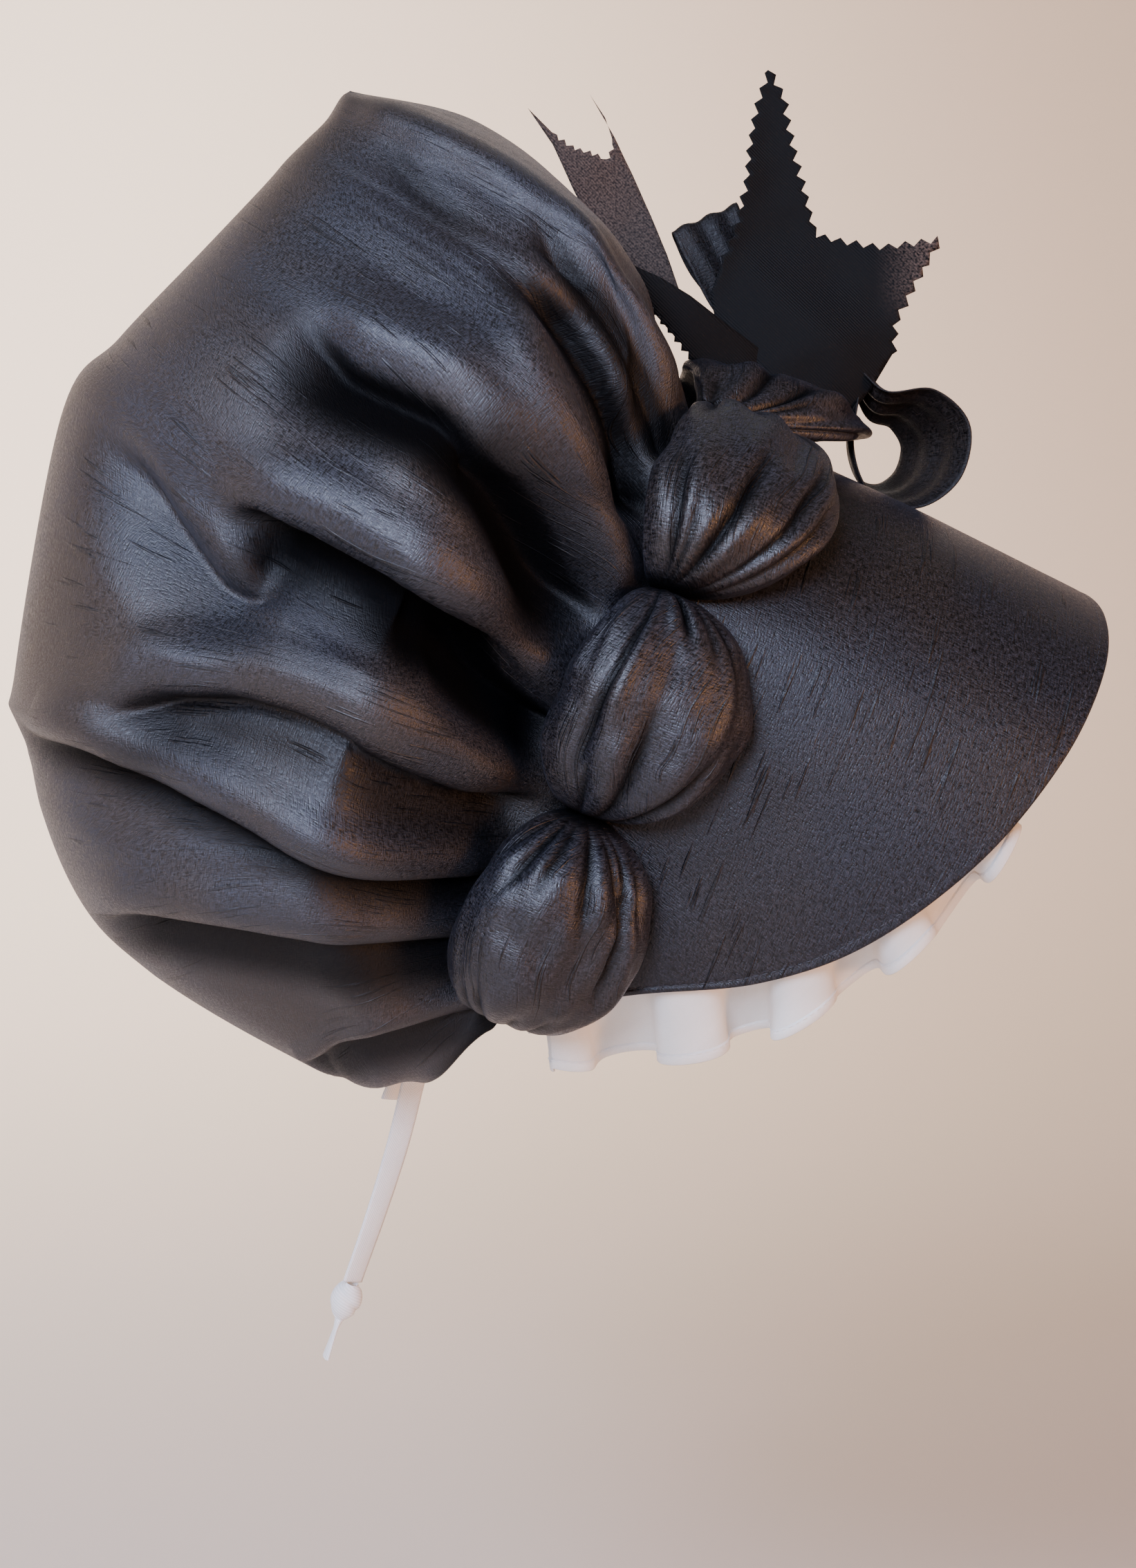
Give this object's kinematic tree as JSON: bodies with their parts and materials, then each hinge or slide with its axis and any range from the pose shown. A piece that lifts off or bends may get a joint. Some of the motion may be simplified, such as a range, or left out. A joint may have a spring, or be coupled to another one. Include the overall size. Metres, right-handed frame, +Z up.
{
  "type": "poke bonnet",
  "caption": "Black silk poke bonnet: gathered bag crown, deep stiffened brim, puffed trim over the join, ribbon bow, white frill inside and a nape tape. Worn form, open for a head.",
  "frame": {"origin": "middle of the wearer's head inside the crown, a point that nothing solid lies at", "axes": "+Z up, the face looks along -Y and the wearer's right side is -X"},
  "size_m": [0.3134, 0.412, 0.5063],
  "materials": {
    "crown_silk": "satin",
    "brim_silk": "satin",
    "puff_silk": "satin",
    "bow_ribbon": "satin",
    "frill_cotton": "matte",
    "nape_tape_cotton": "matte"
  },
  "bodies": {
    "root": {"crown": "crown_silk", "brim": "brim_silk", "puff_1": "puff_silk", "puff_2": "puff_silk", "puff_3": "puff_silk", "puff_4": "puff_silk", "puff_5": "puff_silk", "puff_6": "puff_silk", "puff_7": "puff_silk", "bow_knot": "bow_ribbon", "bow_tail_tall": "bow_ribbon", "bow_tail_thin": "bow_ribbon", "bow_tail_lying": "bow_ribbon", "bow_loop_front": "bow_ribbon", "bow_loop_back": "bow_ribbon", "frill": "frill_cotton", "nape_tape": "nape_tape_cotton", "nape_tape_end": "nape_tape_cotton", "nape_tape_knot": "nape_tape_cotton"}
  },
  "joints": []
}
